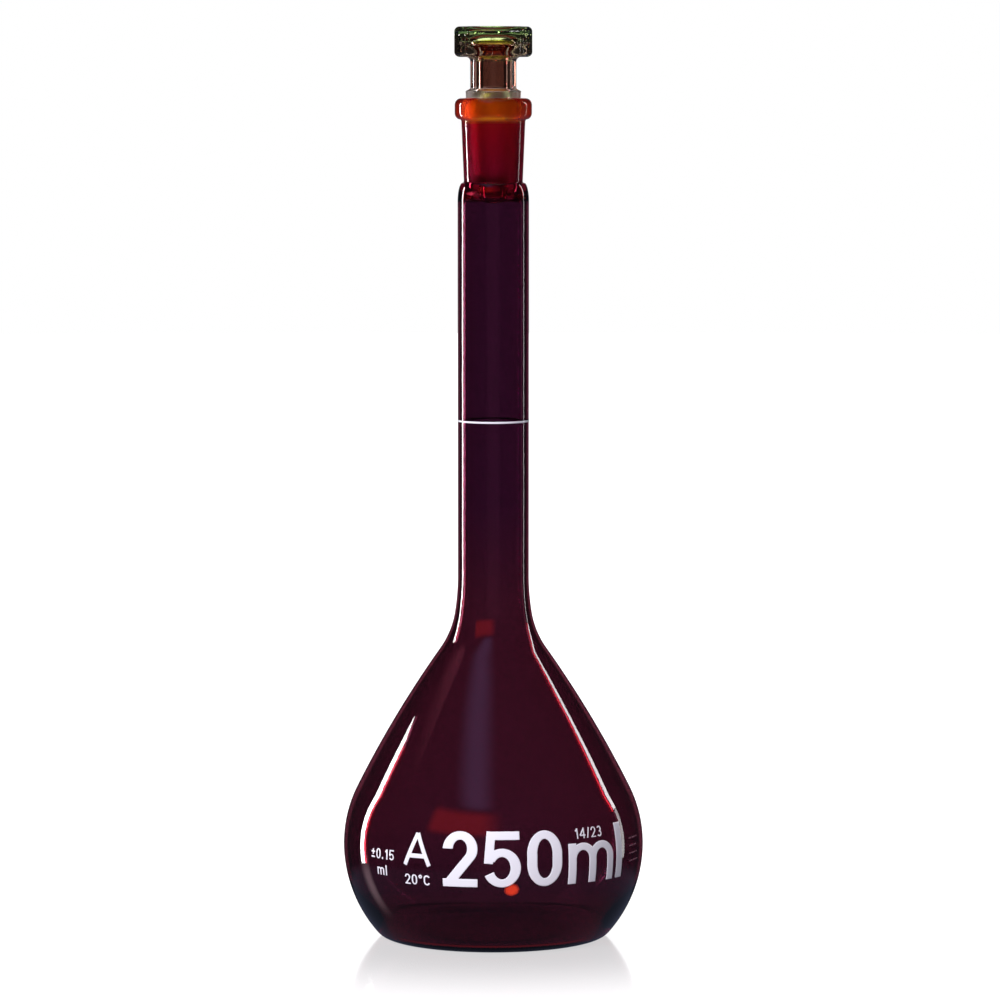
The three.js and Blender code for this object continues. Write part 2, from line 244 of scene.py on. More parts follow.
def arc(centre, radius, start, end, count):
    """Points of a circular arc: centre + radius * (cos a, sin a), a running from start to end."""
    a = np.linspace(start, end, count)
    return np.column_stack((centre[0] + radius * np.cos(a), centre[1] + radius * np.sin(a)))


def line(start, end, count):
    """Points evenly spaced on a straight line."""
    t = np.linspace(0.0, 1.0, count)[:, None]
    return np.array(start) * (1 - t) + np.array(end) * t


def wave(start, end, count):
    """An S-curve: the radius goes over by (1 - cos(pi t)) / 2 while the height rises evenly."""
    t = np.linspace(0.0, 1.0, count)
    blend = (1 - np.cos(np.pi * t)) / 2
    return np.column_stack((start[0] + (end[0] - start[0]) * blend,
                            start[1] + (end[1] - start[1]) * t))


def dome(start, end, count):
    """A quarter ellipse: upright at its start, level at its end."""
    a = np.linspace(0.0, np.pi / 2, count)
    return np.column_stack((end[0] + (start[0] - end[0]) * np.cos(a),
                            start[1] + (end[1] - start[1]) * np.sin(a)))


def joined(*stretches):
    """One outline from stretches that meet end to start, without the doubled points."""
    points = np.concatenate(stretches)
    step = np.linalg.norm(np.diff(points, axis=0), axis=1)
    return points[np.concatenate(([True], step > SAME_POINT))]


def around(count):
    """Even azimuths, once round."""
    return np.linspace(0.0, 2 * np.pi, count, endpoint=False)


def shifted(outline, distance):
    """The outline moved to its left by a distance given at each point, along its own normal."""
    along = np.gradient(outline, axis=0)
    along /= np.linalg.norm(along, axis=1)[:, None]
    left = np.column_stack((-along[:, 1], along[:, 0]))
    return outline + left * np.broadcast_to(distance, len(outline))[:, None]


def smooth_step(low, high, value):
    """0 below low, 1 above high, and 3t^2 - 2t^3 between them."""
    t = np.clip((value - low) / (high - low), 0.0, 1.0)
    return t * t * (3 - 2 * t)


def hide_from(thing, *kinds):
    """Keeps an object out of some kinds of ray."""
    for kind in kinds:
        setattr(thing, "visible_" + kind, False)


def in_scene(name, data, position=(0.0, 0.0, 0.0)):
    """A new object in the scene at a position."""
    thing = bpy.data.objects.new(name, data)
    thing.location = position
    bpy.context.scene.collection.objects.link(thing)
    return thing


def new_piece(name, vertices, faces, material):
    """A mesh object at the origin from arrays of points and of quads."""
    mesh = bpy.data.meshes.new(name)
    mesh.from_pydata(vertices.tolist(), [], faces)
    mesh.polygons.foreach_set("use_smooth", np.ones(len(mesh.polygons), dtype=bool))
    mesh.materials.append(material)
    mesh.update()
    return in_scene(name, mesh)


def turned(outline, azimuths, ring=None):
    """Vertices and faces of an outline carried round Z, closed at poles on the axis.

    Point (i, j) is (r_i * k_ij * cos a_j, r_i * k_ij * sin a_j, z_i), with k the ring factor,
    1 for a round piece. The outline runs up the outside, so the faces look outwards.
    """
    radius, height = outline[:, 0], outline[:, 1]
    count = len(azimuths)
    factor = np.ones((len(outline), count)) if ring is None else ring
    starts_on_axis = radius[0] < SAME_POINT
    ends_on_axis = radius[-1] < SAME_POINT
    rows = slice(1 if starts_on_axis else 0, len(outline) - (1 if ends_on_axis else 0))
    reach = radius[rows, None] * factor[rows]
    grid = np.stack((reach * np.cos(azimuths), reach * np.sin(azimuths),
                     np.broadcast_to(height[rows, None], reach.shape)), axis=-1)
    vertices = grid.reshape(-1, 3)
    n_rows = grid.shape[0]
    index = np.arange(n_rows * count).reshape(n_rows, count)
    right = np.roll(index, -1, axis=1)
    quads = np.stack((index[:-1], right[:-1], right[1:], index[1:]), axis=-1).reshape(-1, 4)
    faces = quads.tolist()
    for wanted, z, first, second in ((starts_on_axis, height[0], right[0], index[0]),
                                     (ends_on_axis, height[-1], index[-1], right[-1])):
        if wanted:
            fan = np.column_stack((np.full(count, len(vertices)), first, second))
            vertices = np.vstack((vertices, (0.0, 0.0, z)))
            faces += fan.tolist()
    return vertices, faces


def mark_points(piece, name, values):
    """Stores one number for each vertex, for the material to read."""
    layer = piece.data.attributes.new(name, "FLOAT", "POINT")
    layer.data.foreach_set("value", np.asarray(values, dtype=np.float32))


# ---- Flask body ----


def flank_top_angle(s):
    """Slope at which the flank stops so that the hollow and flare end on the neck's radius."""
    rise = (NECK_RADIUS - BELLY_RADIUS
            + s.belly_upper_radius * (1 - math.cos(s.flank_foot_angle))
            + s.flank_radius * math.cos(s.flank_foot_angle)
            + s.fillet_radius * math.cos(s.flare_angle)
            + s.flare_radius * (1 - math.cos(s.flare_angle)))
    return math.acos(rise / (s.flank_radius + s.fillet_radius))


def belly_centres(s):
    """Centres of the lower and upper belly arcs, which share the widest point."""
    reach = s.belly_lower_radius - s.base_edge_radius
    belly_z = s.base_edge_radius + reach * math.sin(s.base_edge_angle)
    lower = (BELLY_RADIUS - s.belly_lower_radius, belly_z)
    upper = (BELLY_RADIUS - s.belly_upper_radius, belly_z)
    return lower, upper


def belly_surface(s, height):
    """Outside radius of the belly at given heights, from its two arcs."""
    lower, upper = belly_centres(s)
    above = height > lower[1]
    radius = np.where(above, s.belly_upper_radius, s.belly_lower_radius)
    centre = np.where(above, upper[0], lower[0])
    return centre + np.sqrt(radius ** 2 - (height - lower[1]) ** 2)


def bulb_outline(s):
    """Outside of the bulb from the axis up to the neck: kick, foot, and six tangent arcs.

    The kick is kick * (1 - (r / foot)^2)^1.3, which leaves the foot without a corner.
    """
    r = np.linspace(0.0, s.foot_inner_radius, 34)
    kick = np.column_stack((r, s.kick_height * (1 - (r / s.foot_inner_radius) ** 2) ** 1.3))
    lower, upper = belly_centres(s)
    reach = s.belly_lower_radius - s.base_edge_radius
    edge = (lower[0] + reach * math.cos(s.base_edge_angle), s.base_edge_radius)
    top = flank_top_angle(s)

    def along(centre, distance, direction):
        return (centre[0] + distance * math.cos(direction),
                centre[1] + distance * math.sin(direction))

    flank = along(upper, s.belly_upper_radius - s.flank_radius, s.flank_foot_angle)
    fillet = along(flank, s.flank_radius + s.fillet_radius, top)
    flare = along(fillet, s.flare_radius - s.fillet_radius, s.flare_angle)
    return joined(
        kick,
        line((s.foot_inner_radius, 0.0), (edge[0], 0.0), 5),
        arc(edge, s.base_edge_radius, -QUARTER, -s.base_edge_angle, 18),
        arc(lower, s.belly_lower_radius, -s.base_edge_angle, 0.0, 30),
        arc(upper, s.belly_upper_radius, 0.0, s.flank_foot_angle, 22),
        arc(flank, s.flank_radius, s.flank_foot_angle, top, 30),
        arc(fillet, s.fillet_radius, math.pi + top, math.pi + s.flare_angle, 18),
        arc(flare, s.flare_radius, math.pi + s.flare_angle, math.pi, 14),
    )


def socket_outline(s):
    """Outside of the neck's top: shoulder, tapered socket and bead, up to the rim."""
    bead_foot_z = RIM_Z - s.bead_height
    bead_centre = BEAD_RADIUS - s.bead_edge_radius
    shoulder_top_z = SHOULDER_FOOT_Z + s.shoulder_height
    step, hollow = 0.4 * MM, 0.9 * MM
    return joined(
        dome((NECK_RADIUS, SHOULDER_FOOT_Z),
             (s.socket_foot_radius + 0.35 * MM, shoulder_top_z), 20),
        arc((s.socket_foot_radius + step, shoulder_top_z + step), step, -QUARTER, -math.pi, 6),
        line((s.socket_foot_radius, shoulder_top_z + step),
             (s.socket_top_radius, bead_foot_z - 0.6 * MM), 10),
        arc((s.socket_top_radius + hollow, bead_foot_z - 0.5 * MM), hollow,
            math.pi, math.pi * 0.62, 5),
        arc((bead_centre, bead_foot_z + s.bead_edge_radius), s.bead_edge_radius,
            -QUARTER * 0.72, 0.0, 12),
        arc((bead_centre, RIM_Z - s.bead_edge_radius), s.bead_edge_radius, 0.0, QUARTER, 14),
    )


def ground_radius(s, height):
    """Radius of the taper at a height: its diameter grows by 1 in 10, so its radius by 1 in 20."""
    return s.ground_large_radius - (RIM_Z - height) / 20


def flask_outline(s):
    """The whole section of the blown glass, from the axis up the outside and down the inside."""
    bulb = bulb_outline(s)
    full_gain_z, no_gain_z = 2 * MM, 16 * MM
    wall = s.wall + s.base_gain * (1 - smooth_step(full_gain_z, no_gain_z, bulb[:, 1]))
    inside = shifted(bulb, wall)
    inside[0, 0] = 0.0
    neck_bore = inside[-1, 0]
    throat_z = SHOULDER_FOOT_Z - 0.4 * MM
    bore_foot_z = RIM_Z - s.ground_length
    bore_foot = ground_radius(s, bore_foot_z)
    lip = 0.5 * MM
    return joined(
        bulb,
        line(bulb[-1], (NECK_RADIUS, SHOULDER_FOOT_Z), 12),
        socket_outline(s),
        arc((s.ground_large_radius + lip, RIM_Z - lip), lip, QUARTER, math.pi, 6),
        line((s.ground_large_radius, RIM_Z - lip), (bore_foot, bore_foot_z), 10),
        wave((bore_foot, bore_foot_z), (neck_bore, throat_z), 16),
        line((neck_bore, throat_z), inside[-1], 12),
        inside[::-1],
    )


def build_flask(s, material):
    """The flask body as one turned surface, marked where its bore is ground."""
    vertices, faces = turned(flask_outline(s), around(s.facets))
    piece = new_piece("flask_body", vertices, faces, material)
    radius = np.hypot(vertices[:, 0], vertices[:, 1])
    height = vertices[:, 2]
    on_bore = radius < ground_radius(s, height) + NEAR_CONE
    foot_z = RIM_Z - s.ground_length
    span = smooth_step(foot_z - 0.4 * MM, foot_z, height)
    mark_points(piece, "ground", on_bore * span)
    return piece


# ---- Stopper ----


def head_factor(s, azimuths, softness):
    """Reach of a rounded octagon against azimuth, for each softness from 0 to 1.

    The octagon is a smaller sharp one, with flats at flat - corner, grown by the corner radius.
    Softness 0 gives factor 1 all round, which is a circle of radius flat.
    """
    sector = math.pi / 4
    from_corner = (azimuths + QUARTER - s.head_turn + sector / 2) % sector - sector / 2
    offset = np.abs(from_corner)
    from_flat = sector / 2 - offset
    inner = s.flat_radius - s.face_crown - s.corner_radius
    corner = inner / math.cos(sector / 2)
    side = s.flat_radius * math.tan(sector / 2)
    swell = s.face_crown * (1 - (s.flat_radius * np.tan(from_flat) / side) ** 2)
    on_flat = (s.flat_radius - s.face_crown + swell) / np.cos(from_flat)
    under_root = s.corner_radius ** 2 - (corner * np.sin(offset)) ** 2
    on_arc = corner * np.cos(offset) + np.sqrt(np.maximum(under_root, 0.0))
    is_flat = on_flat * np.sin(from_flat) < inner * math.tan(sector / 2)
    reach = np.where(is_flat, on_flat, on_arc) / s.flat_radius
    return 1 + (reach - 1)[None, :] * softness[:, None]


def stopper_outline(flask, s):
    """Outside of the stopper from its tip to the middle of its head's top."""
    def cone(height):
        return ground_radius(flask, height) - s.clearance

    cone_foot_z = TIP_Z + s.cone_foot
    cone_top_z = RIM_Z + s.rise
    stem_foot_z = RIM_Z + s.stem_foot
    head_foot_z = HEAD_TOP_Z - s.head_height
    tip = arc((0.0, TIP_Z + s.tip_radius), s.tip_radius, -QUARTER, -QUARTER * 0.12, 18)
    root, foot, fillet, edge = 0.72 * MM, 0.7 * MM, s.head_fillet, s.edge_radius
    head_edge = s.flat_radius - edge
    return joined(
        tip,
        arc((s.tip_radius + root, cone_foot_z - 1.35 * MM), root, math.pi, QUARTER * 1.15, 6),
        arc((cone(cone_foot_z) - foot, cone_foot_z), foot, -QUARTER, 0.0, 8),
        line((cone(cone_foot_z), cone_foot_z), (cone(cone_top_z), cone_top_z), 14),
        wave((cone(cone_top_z), cone_top_z + 0.05 * MM), (s.stem_radius, stem_foot_z), 10),
        line((s.stem_radius, stem_foot_z), (s.stem_radius, head_foot_z - fillet), 8),
        arc((s.stem_radius + fillet, head_foot_z - fillet), fillet, math.pi, QUARTER, 8),
        line((s.stem_radius + fillet, head_foot_z), (head_edge, head_foot_z), 5),
        arc((head_edge, head_foot_z + edge), edge, -QUARTER, 0.0, 10),
        line((s.flat_radius, head_foot_z + edge), (s.flat_radius, HEAD_TOP_Z - edge), 6),
        arc((head_edge, HEAD_TOP_Z - edge - 0.12 * MM), edge, 0.0, QUARTER * 0.97, 12),
        line((head_edge * 0.93, HEAD_TOP_Z - 0.10 * MM), (0.0, HEAD_TOP_Z), 12),
    )


def hollow_outline(flask, s):
    """The blown hollow from its top down to the tip, so that its faces look into the hollow."""
    cone_foot_z = TIP_Z + s.cone_foot
    top_z = HEAD_TOP_Z - s.hollow_top
    girth_z = top_z - 2.3 * MM
    throat_z = HEAD_TOP_Z - s.head_height + 0.9 * MM
    stem_foot_z = RIM_Z + s.stem_foot
    wide_z = RIM_Z - 1.0 * MM
    narrow_z = cone_foot_z + 1.8 * MM
    tip_z = cone_foot_z - 1.6 * MM

    def bore(height):
        return ground_radius(flask, height) - s.clearance - s.wall

    tip_radius = s.tip_radius - s.wall * 0.8
    return joined(
        dome((s.head_bore, girth_z), (0.0, top_z), 16)[::-1],
        wave((s.head_bore, girth_z), (s.stem_bore, throat_z), 14),
        line((s.stem_bore, throat_z), (s.stem_bore, stem_foot_z), 6),
        wave((s.stem_bore, stem_foot_z), (bore(wide_z), wide_z), 12),
        line((bore(wide_z), wide_z), (bore(narrow_z), narrow_z), 10),
        wave((bore(narrow_z), narrow_z), (tip_radius, tip_z), 12),
        arc((0.0, tip_z), tip_radius, 0.0, -QUARTER, 12),
    )


def head_azimuths(s, count):
    """Azimuths spaced by arc length plus turning, so that the head's corners get more faces."""
    fine = around(7200)
    arc_for_a_radian = 1.5 * MM
    reach = head_factor(s, fine, np.ones(1))[0] * s.flat_radius
    points = np.column_stack((reach * np.cos(fine), reach * np.sin(fine)))
    step = np.roll(points, -1, axis=0) - points
    heading = np.unwrap(np.arctan2(step[:, 1], step[:, 0]))
    turning = np.abs(np.append(np.diff(heading), 0.0))
    measure = np.cumsum(np.linalg.norm(step, axis=1) + arc_for_a_radian * turning)
    wanted = np.linspace(0.0, measure[-1], count, endpoint=False)
    return np.interp(wanted, np.concatenate(([0.0], measure[:-1])), fine)


def build_stopper(flask, s, material):
    """The stopper's outer skin and its sealed hollow, as one piece of two closed surfaces."""
    azimuths = head_azimuths(s, 208)
    outline = stopper_outline(flask, s)
    head_foot_z = HEAD_TOP_Z - s.head_height
    low, high = s.stem_radius + s.head_fillet, s.flat_radius - s.edge_radius
    near = 0.01 * MM
    in_head = outline[:, 1] > head_foot_z - near
    softness = np.where(in_head, smooth_step(low * 0.4, high, outline[:, 0]), 0.0)
    under = in_head & (outline[:, 1] < head_foot_z + near)
    softness = np.where(under, smooth_step(low, high, outline[:, 0]), softness)
    outer, outer_faces = turned(outline, azimuths, head_factor(s, azimuths, softness))
    hollow, hollow_faces = turned(hollow_outline(flask, s), azimuths)
    shifted_faces = [[corner + len(outer) for corner in face] for face in hollow_faces]
    vertices = np.vstack((outer, hollow))
    piece = new_piece("stopper_glass", vertices, outer_faces + shifted_faces, material)
    height = vertices[:, 2]
    radius = np.hypot(vertices[:, 0], vertices[:, 1])
    on_cone = radius > ground_radius(flask, height) - s.clearance - NEAR_CONE
    foot_z, top_z = TIP_Z + s.cone_foot, RIM_Z + s.rise
    foot = smooth_step(foot_z - 0.2 * MM, foot_z + 0.2 * MM, height)
    top = 1 - smooth_step(top_z + 0.02 * MM, top_z + 0.3 * MM, height)
    mark_points(piece, "ground", on_cone * foot * top)
    return piece


# ---- Enamel ----


def bar(x0, y0, x1, y1, weight=1.0):
    """A straight pen stroke: distance to a square-ended band, as a function of (x, y, half)."""
    def distance(x, y, half):
        dx, dy = x1 - x0, y1 - y0
        reach = math.hypot(dx, dy)
        t = ((x - x0) * dx + (y - y0) * dy) / reach
        across = np.abs((x - x0) * dy - (y - y0) * dx) / reach
        return np.maximum(across - half * weight, np.abs(t - reach / 2) - reach / 2)
    return distance


def ellipse_distance(x, y, a, b):
    """Near distance to an ellipse: k (k - 1) / m, k = |(x/a, y/b)| and m = |(x/a^2, y/b^2)|."""
    k = np.hypot(x / a, y / b)
    m = np.hypot(x / a ** 2, y / b ** 2)
    return k * (k - 1) / np.maximum(m, 1e-9)


def bow(cx, cy, radius, start, end, squash=1.0, thin=1.0):
    """A curved pen stroke between two ellipses, cut square at both angles.

    The middle line is radius wide and radius * squash high. Its pen is thinner by the factor
    thin at the top and bottom of the curve.
    """
    def distance(x, y, half):
        u, v = x - cx, y - cy
        high = radius * squash
        outer = ellipse_distance(u, v, radius + half, high + half * thin)
        inner = ellipse_distance(u, v, radius - half, high - half * thin)
        ring = np.maximum(outer, -inner)
        middle, spread = math.radians((start + end) / 2), math.radians((end - start) / 2)
        if spread > math.pi - 1e-6:
            return ring
        past = np.abs((np.arctan2(v, u) - middle + np.pi) % (2 * np.pi) - np.pi) - spread
        cut = np.hypot(u, v) * np.sin(np.clip(past, -np.pi / 2, np.pi / 2))
        return np.maximum(ring, cut)
    return distance


THIN = 0.78  # level strokes are this much thinner than upright ones
LIGHT = 0.88  # the small m has a lighter pen than the figures
FIGURE_GRID = 0.14 * MM  # spacing of the points that the figures are cut from


def figure_two(w, h, pen):
    """A 2 in a box w wide and h high."""
    r, low = (w - pen) / 2, pen * THIN / 2
    rise = r * 1.06
    top = h - low - rise
    leave = math.radians(-36)
    return [
        bow(0, top, r, -38, 180, 1.06, THIN),
        bar(r * math.cos(leave), top + rise * math.sin(leave), -r + 0.16 * pen, low * 1.1, 0.92),
        bar(-w / 2, low, w / 2, low, THIN),
    ]


def figure_five(w, h, pen):
    """A 5 in a box w wide and h high."""
    r, low, high = (w - pen) / 2, pen * THIN / 2, h - pen * THIN / 2
    bowl = r * 1.12
    return [
        bar(-r - 0.08 * pen, high, r + 0.40 * pen, high, THIN),
        bar(-r + 0.26 * pen, h, -r + 0.02 * pen, low + bowl + 0.42 * pen, 0.86),
        bow(0, low + bowl, r, -155, 142, 1.12, THIN),
    ]


def figure_nought(w, h, pen):
    """A 0 in a box w wide and h high."""
    r = (w - pen) / 2
    low, rise = pen * THIN / 2, r * 1.4
    lower, upper = low + rise, h - low - rise
    return [
        bow(0, upper, r, -1, 181, 1.4, THIN),
        bow(0, lower, r, 179, 361, 1.4, THIN),
        bar(-r, lower, -r, upper),
        bar(r, lower, r, upper),
    ]


def letter_m(w, h, pen):
    """A small m in a box w wide and h high."""
    pitch = (w - pen) / 2
    arch = pitch / 2
    spring = h - pen * THIN / 2 - arch
    stems = [bar(x, 0, x, spring + 0.02 * pen) for x in (0, pitch)]
    arches = [bow(x, spring, arch, -1, 181, 1.0, THIN) for x in (-arch, arch)]
    return stems + arches + [bar(-pitch, 0, -pitch, h)]


def straight(*rows):
    """A drawing made of bars only, each (x0, y0, x1, y1) in widths and heights of its box."""
    def drawing(w, h, pen):
        return [bar(x0 * w, y0 * h, x1 * w, y1 * h) for x0, y0, x1, y1 in rows]
    return drawing


def figure_one(w, h, pen):
    """A 1 with a short flag."""
    return [bar(w * 0.2, 0, w * 0.2, h), bar(w * 0.2, h - pen * 0.4, -w * 0.3, h * 0.72)]


def figure_three(w, h, pen):
    """A 3 of two bowls."""
    r = (h - pen) / 4
    return [bow(0, pen / 2 + r, r * 1.08, -150, 92), bow(0, h - pen / 2 - r, r, -92, 150)]


def figure_four(w, h, pen):
    """A 4 with an open diagonal."""
    return [
        bar(w * 0.22, 0, w * 0.22, h),
        bar(w * 0.22, h - pen / 2, -w / 2, h * 0.3),
        bar(-w / 2, h * 0.3, w / 2, h * 0.3),
    ]


def full_stop(w, h, pen):
    """A point on the line."""
    return [bar(0, 0, 0, pen * 1.3)]


def degree(w, h, pen):
    """A small raised ring."""
    return [bow(0, h * 0.82, h * 0.12, -180, 180)]


def letter_c(w, h, pen):
    """A capital C."""
    r = (w - pen) / 2
    lower, upper = pen / 2 + r, h - pen / 2 - r
    return [bow(0, upper, r, 25, 181), bow(0, lower, r, 179, 335), bar(-r, lower, -r, upper)]


letter_l = straight((0, 0, 0, 1))
letter_a = straight((-0.5, 0, 0, 1), (0.5, 0, 0, 1), (-0.3, 0.3, 0.3, 0.3))
slash = straight((-0.3, 0, 0.3, 1))
plus_minus = straight((-0.4, 0.62, 0.4, 0.62), (0, 0.34, 0, 0.9), (-0.4, 0.12, 0.4, 0.12))
# Drawing and width over height of each sign; + stands for plus-minus and o for degrees.
SMALL_PRINT = {
    "0": (figure_nought, 0.62), "1": (figure_one, 0.45), "2": (figure_two, 0.62),
    "3": (figure_three, 0.62), "4": (figure_four, 0.66), "5": (figure_five, 0.62),
    "/": (slash, 0.40), ".": (full_stop, 0.25), "+": (plus_minus, 0.66), "o": (degree, 0.38),
    "A": (letter_a, 0.86), "C": (letter_c, 0.70), "m": (letter_m, 0.98), "l": (letter_l, 0.25),
}


def typeset(text, height, pen):
    """Strokes of a line of small print, centred, each as (stroke, shift along the line)."""
    gap = height * 0.17
    widths = [SMALL_PRINT[sign][1] * height for sign in text]
    left = -(sum(widths) + gap * (len(text) - 1)) / 2
    placed = []
    for sign, width in zip(text, widths):
        drawing = SMALL_PRINT[sign][0]
        tall = height * 0.74 if sign == "m" else height
        placed += [(stroke, left + width / 2) for stroke in drawing(width, tall, pen)]
        left += width + gap
    return placed


def printed(name, strokes, pen, degrees, base_z, pitch, material):
    """Enamel in the shape of pen strokes, laid on the belly as one thin closed skin.

    A grid of points (u, v) covers the strokes, u along the belly and v up. The signed distance
    to the nearest stroke says which cells are enamel. Points on their border are moved on to
    the outline by minus the distance times its gradient. Each point goes to the azimuth
    degrees + u / belly radius and the height base_z + v, at the belly's radius plus a lift that
    is full in the middle and falls away at the border.
    """
    flask = bpy.context.scene.flask_sizes
    thickness = bpy.context.scene.enamel_sizes.thickness
    azimuth = math.radians(degrees)
    half = pen / 2
    shifts = np.array([shift for _, shift in strokes])
    wide = np.abs(shifts).max() + 9 * MM
    below, tall = -1 * MM, 16 * MM
    edge_lift, bevel = 0.45, 0.12 * MM
    u, v = np.meshgrid(np.arange(-wide, wide, pitch), np.arange(below, tall, pitch),
                       indexing="ij")
    distance = np.full(u.shape, 1.0)
    for stroke, shift in strokes:
        distance = np.minimum(distance, stroke(u - shift, v, half))
    slope_u, slope_v = np.gradient(distance, pitch)
    steep = np.maximum(np.hypot(slope_u, slope_v), 0.5)
    middle = (distance[:-1, :-1] + distance[1:, :-1] + distance[:-1, 1:] + distance[1:, 1:]) / 4
    cell = middle < 0
    padded = np.pad(cell, 1)
    touching = sum(padded[i:i + u.shape[0], j:j + u.shape[1]].astype(int)
                   for i in (0, 1) for j in (0, 1))
    used = touching > 0
    border = used & (touching < 4)
    move = np.where(border, distance / steep ** 2, 0.0)
    move = np.clip(move, -pitch, pitch)
    u, v = u - move * slope_u, v - move * slope_v
    depth = np.where(border, 0.0, np.maximum(-distance, 0.0))
    rising = smooth_step(0.0, bevel, depth)
    lift = thickness * (edge_lift + (1 - edge_lift) * rising)

    def on_belly(raise_by):
        height = base_z + v[used]
        reach = belly_surface(flask, height) + raise_by
        turn = azimuth + u[used] / BELLY_RADIUS
        return np.column_stack((reach * np.sin(turn), -reach * np.cos(turn), height))

    top, bottom = on_belly(lift[used]), on_belly(-SUNK)
    index = np.full(u.shape, -1)
    index[used] = np.arange(used.sum())
    low_i, low_j = np.nonzero(cell)
    corners = [index[low_i + i, low_j + j] for i, j in ((0, 0), (1, 0), (1, 1), (0, 1))]
    faces = np.column_stack(corners)
    under = faces[:, ::-1] + len(top)
    walls = []
    for di, dj, a, b in ((-1, 0, (0, 1), (0, 0)), (1, 0, (1, 0), (1, 1)),
                         (0, -1, (0, 0), (1, 0)), (0, 1, (1, 1), (0, 1))):
        open_side = cell & ~padded[1 + di:padded.shape[0] - 1 + di,
                                   1 + dj:padded.shape[1] - 1 + dj]
        i, j = np.nonzero(open_side)
        start, end = index[i + a[0], j + a[1]], index[i + b[0], j + b[1]]
        walls.append(np.column_stack((end, start, start + len(top), end + len(top))))
    all_faces = np.vstack([faces, under] + walls)
    return new_piece(name, np.vstack((top, bottom)), all_faces.tolist(), material)


def build_ring_mark(enamel, material):
    """The calibration line: a flat-topped band with soft edges, carried round the neck.

    Across the band the lift is thickness * (1 - s^6), s running from -1 to 1 over its width.
    """
    s = np.linspace(-1.0, 1.0, 17)
    middle, half = (RING_LOW_Z + RING_HIGH_Z) / 2, (RING_HIGH_Z - RING_LOW_Z) / 2
    crown = np.column_stack((NECK_RADIUS + enamel.thickness * (1 - s ** 6), middle + half * s))
    back = np.column_stack((np.full(3, NECK_RADIUS - SUNK), middle + half * s[[16, 8, 0]]))
    outline = np.vstack((crown, back, crown[:1]))
    vertices, faces = turned(outline, around(200))
    return new_piece("ring_mark_enamel", vertices, faces, material)


# ---- Materials ----


class Nodes:
    """An emptied node tree, with short ways to add nodes that give back a socket."""

    def __init__(self, owner):
        owner.use_nodes = True
        self.tree = owner.node_tree
        self.tree.nodes.clear()

    def add(self, kind, settings=None, output=0, **inputs):
        """Adds a node. An input goes by its name, or by its number after an i."""
        node = self.tree.nodes.new("ShaderNode" + kind)
        for key, value in (settings or {}).items():
            setattr(node, key, value)
        for key, value in inputs.items():
            socket = node.inputs[int(key[1:]) if key[1:].isdigit() else key.replace("_", " ")]
            if isinstance(value, bpy.types.NodeSocket):
                self.tree.links.new(value, socket)
            else:
                socket.default_value = value
        return node.outputs[output] if node.outputs else None

    def maths(self, operation, *values):
        """One Math node on sockets or plain numbers."""
        numbered = {f"i{i}": value for i, value in enumerate(values)}
        return self.add("Math", {"operation": operation}, **numbered)

    def chain(self, operation, first, *rest):
        """The same Math operation carried along a row of values."""
        for value in rest:
            first = self.maths(operation, first, value)
        return first

    def part(self, vector, axis):
        """One of the three parts of a vector."""
        return self.add("SeparateXYZ", output=axis, Vector=vector)

    def noise(self, place, scale, detail):
        """Soft noise between 0 and 1."""
        return self.add("TexNoise", Vector=place, Scale=scale, Detail=detail)

    def remap(self, value, low, high, start=0.0, end=1.0, curve="LINEAR"):
        """start at low and below, end at high and above, and the curve between them."""
        return self.add("MapRange", {"interpolation_type": curve}, Value=value, From_Min=low,
                        From_Max=high, To_Min=start, To_Max=end)

    def ramp(self, factor, stops):
        """A colour ramp through (position, colour) stops."""
        colours = self.add("ValToRGB", Fac=factor)
        elements = colours.node.color_ramp.elements
        for element, (position, rgb) in zip((elements[0], elements[1]), (stops[0], stops[-1])):
            element.position, element.color = position, opaque(rgb)
        for position, rgb in stops[1:-1]:
            elements.new(position).color = opaque(rgb)
        return colours

    def mixed(self, factor, first, second):
        """Two colours mixed."""
        return self.add("Mix", {"data_type": "RGBA"}, 2, Factor=factor, i6=first, i7=second)


def opaque(rgb):
    """A colour with full alpha."""
    return (*rgb, 1.0)


def new_material(name):
    """A new material, its nodes, and the place on the object that they depend on."""
    material = bpy.data.materials.new(name)
    n = Nodes(material)
    return material, n, n.add("TexCoord", output="Object")


def glass_material(name, tint_of, absorption, density, polish, frost):
    """Stained glass: tint and roughness from nodes, absorption in the body, faint blown waves."""
    material, n, place = new_material(name)
    ground = n.add("Attribute", {"attribute_name": "ground"}, "Fac")
    tint = tint_of(n, place, ground)
    grain = n.noise(place, 2600.0, 2.0)
    rough = n.remap(ground, 0.0, 1.0, polish, frost)
    stretched = n.add("Mapping", Vector=place, Scale=(60.0, 60.0, 9.0))
    waves = n.noise(stretched, 1.0, 1.0)
    bumps = n.add("Mix", {"data_type": "FLOAT"}, Factor=ground, i2=waves, i3=grain)
    relief = n.add("Bump", Strength=0.12, Distance=0.4 * MM, Height=bumps)
    shader = n.add("BsdfPrincipled", Base_Color=tint, Roughness=rough, IOR=BOROSILICATE_IOR,
                   Transmission_Weight=1.0, Normal=relief)
    volume = n.add("VolumeAbsorption", Color=opaque(absorption), Density=density)
    n.add("OutputMaterial", Surface=shader, Volume=volume)
    return material


def radius_of(n, place):
    """Distance from the upright axis."""
    across = n.add("CombineXYZ", X=n.part(place, "X"), Y=n.part(place, "Y"))
    return n.add("VectorMath", {"operation": "LENGTH"}, "Value", i0=across)


